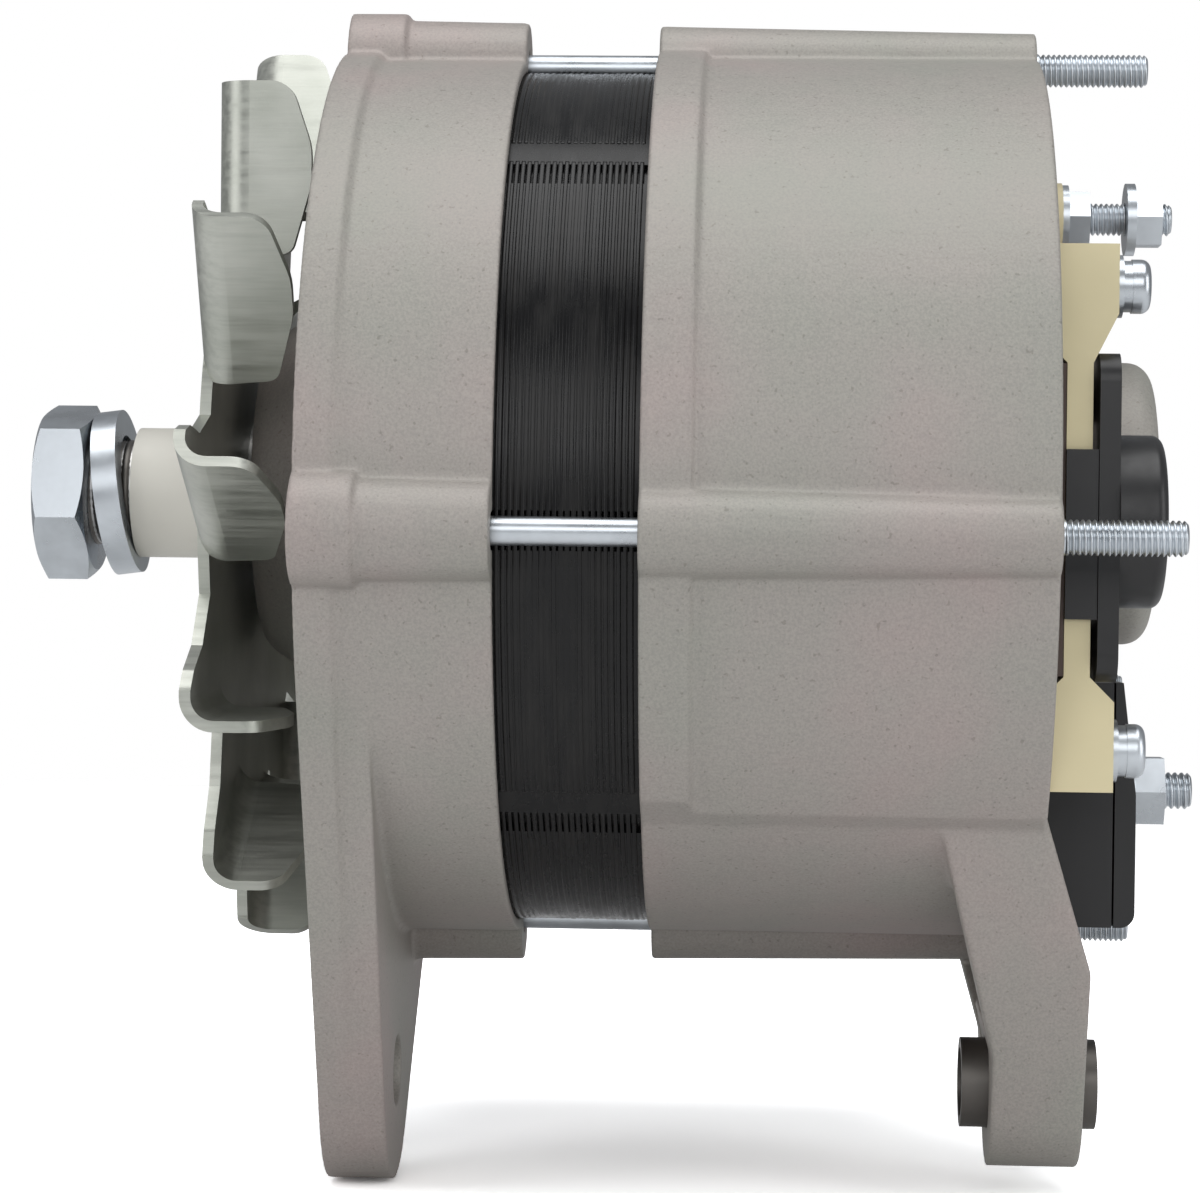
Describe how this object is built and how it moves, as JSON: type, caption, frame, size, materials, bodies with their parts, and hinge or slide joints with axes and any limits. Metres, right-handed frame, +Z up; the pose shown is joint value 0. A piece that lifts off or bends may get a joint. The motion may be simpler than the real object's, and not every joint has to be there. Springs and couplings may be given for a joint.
{
  "type": "belt-driven alternator",
  "caption": "Belt-driven alternator with an external sheet-metal fan, two cast brackets round a laminated stator, pivot lugs and a rear-mounted regulator.",
  "frame": {"origin": "at the middle of the pivot bore in the front lug, on which the alternator hangs; the shaft axis is parallel to X, 16 mm along +Y and 86.5 mm above", "axes": "+X along the shaft from the drive end to the slip-ring end, +Z up away from the pivot lugs, -Y towards the side with the regulator"},
  "size_m": [0.1767, 0.1574, 0.1757],
  "materials": {
    "cast_aluminium": "sand-textured casting",
    "laminations": "varnished steel sheets",
    "zinc_plate": "zinc plated",
    "steel": "machined",
    "dark_steel": "as rolled",
    "bearing_steel": "ground",
    "copper_winding": "varnished copper",
    "copper": "drawn",
    "black_plastic": "moulded",
    "white_plastic": "moulded",
    "cream_plastic": "moulded",
    "brown_fibre": "pressed",
    "carbon": "graphite"
  },
  "bodies": {
    "housing": {"front_bracket": "cast_aluminium", "rear_bracket": "cast_aluminium", "stator_core": "laminations", "stator_winding": "copper_winding", "phase_leads": "copper", "through_bolts": "zinc_plate", "front_bearing_outer_race": "bearing_steel", "rear_bearing_outer_race": "bearing_steel", "bearing_retainer": "zinc_plate", "retainer_screws": "zinc_plate", "brush_holder": "black_plastic", "brush_spring_negative": "steel", "brush_spring_positive": "steel", "regulator_flange": "black_plastic", "regulator_drum": "black_plastic", "regulator_screws": "zinc_plate", "positive_heat_sink": "cast_aluminium", "negative_heat_sink": "cast_aluminium", "positive_diodes": "steel", "negative_diodes": "steel", "signal_stud": "zinc_plate", "signal_stud_washer": "zinc_plate", "signal_stud_nut": "zinc_plate", "signal_flange_nut": "zinc_plate", "stud_insulators": "cream_plastic", "output_stud": "zinc_plate", "output_washer": "zinc_plate", "output_nut": "zinc_plate", "terminal_block": "black_plastic", "terminal_block_cap": "black_plastic", "small_stud": "zinc_plate", "terminal_carrier": "cream_plastic", "carrier_clip": "black_plastic", "insulating_strip": "brown_fibre", "carrier_washers": "zinc_plate", "carrier_spring_washers": "zinc_plate", "carrier_screws": "zinc_plate"},
    "rotor": {"shaft": "steel", "shaft_nut": "zinc_plate", "lock_washer": "zinc_plate", "pulley_sleeve": "white_plastic", "fan": "zinc_plate", "fan_spacer": "steel", "front_bearing_inner_race": "bearing_steel", "rear_bearing_inner_race": "bearing_steel", "claw_pole_front": "dark_steel", "claw_pole_rear": "dark_steel", "field_core": "dark_steel", "coil_bobbin": "cream_plastic", "field_coil": "copper_winding", "slip_ring_carrier": "black_plastic", "slip_rings": "copper"},
    "front_cage": {"front_bearing_balls": "bearing_steel", "front_bearing_cage": "steel"},
    "rear_cage": {"rear_bearing_balls": "bearing_steel", "rear_bearing_cage": "steel"},
    "brush_negative": {"brush_negative": "carbon"},
    "brush_positive": {"brush_positive": "carbon"},
    "pivot_bush": {"pivot_bush": "dark_steel"}
  },
  "joints": [
    {"name": "rotor_spin", "type": "hinge", "parent": "housing", "child": "rotor", "pos_m": [0.0986, 0.016, 0.0865], "axis": [1, 0, 0], "continuous": true},
    {"name": "front_cage_spin", "type": "hinge", "parent": "housing", "child": "front_cage", "pos_m": [-0.0074, 0.016, 0.0865], "axis": [1, 0, 0], "continuous": true},
    {"name": "rear_cage_spin", "type": "hinge", "parent": "housing", "child": "rear_cage", "pos_m": [0.1071, 0.016, 0.0865], "axis": [1, 0, 0], "continuous": true},
    {"name": "brush_negative_slide", "type": "slide", "parent": "housing", "child": "brush_negative", "axis": [0, -1, 0], "range_m": [0, 0.005], "stiffness_N_per_m": 300, "springref_m": -0.008, "deforming": ["brush_spring_negative"]},
    {"name": "brush_positive_slide", "type": "slide", "parent": "housing", "child": "brush_positive", "axis": [0, -1, 0], "range_m": [0, 0.005], "stiffness_N_per_m": 300, "springref_m": -0.008, "deforming": ["brush_spring_positive"]},
    {"name": "pivot_bush_slide", "type": "slide", "parent": "housing", "child": "pivot_bush", "axis": [-1, 0, 0], "range_m": [-0.002, 0.003]}
  ],
  "couplings": [
    {"joint": "front_cage_spin", "follows": "rotor_spin", "ratio": 0.3638},
    {"joint": "rear_cage_spin", "follows": "rotor_spin", "ratio": 0.38}
  ]
}
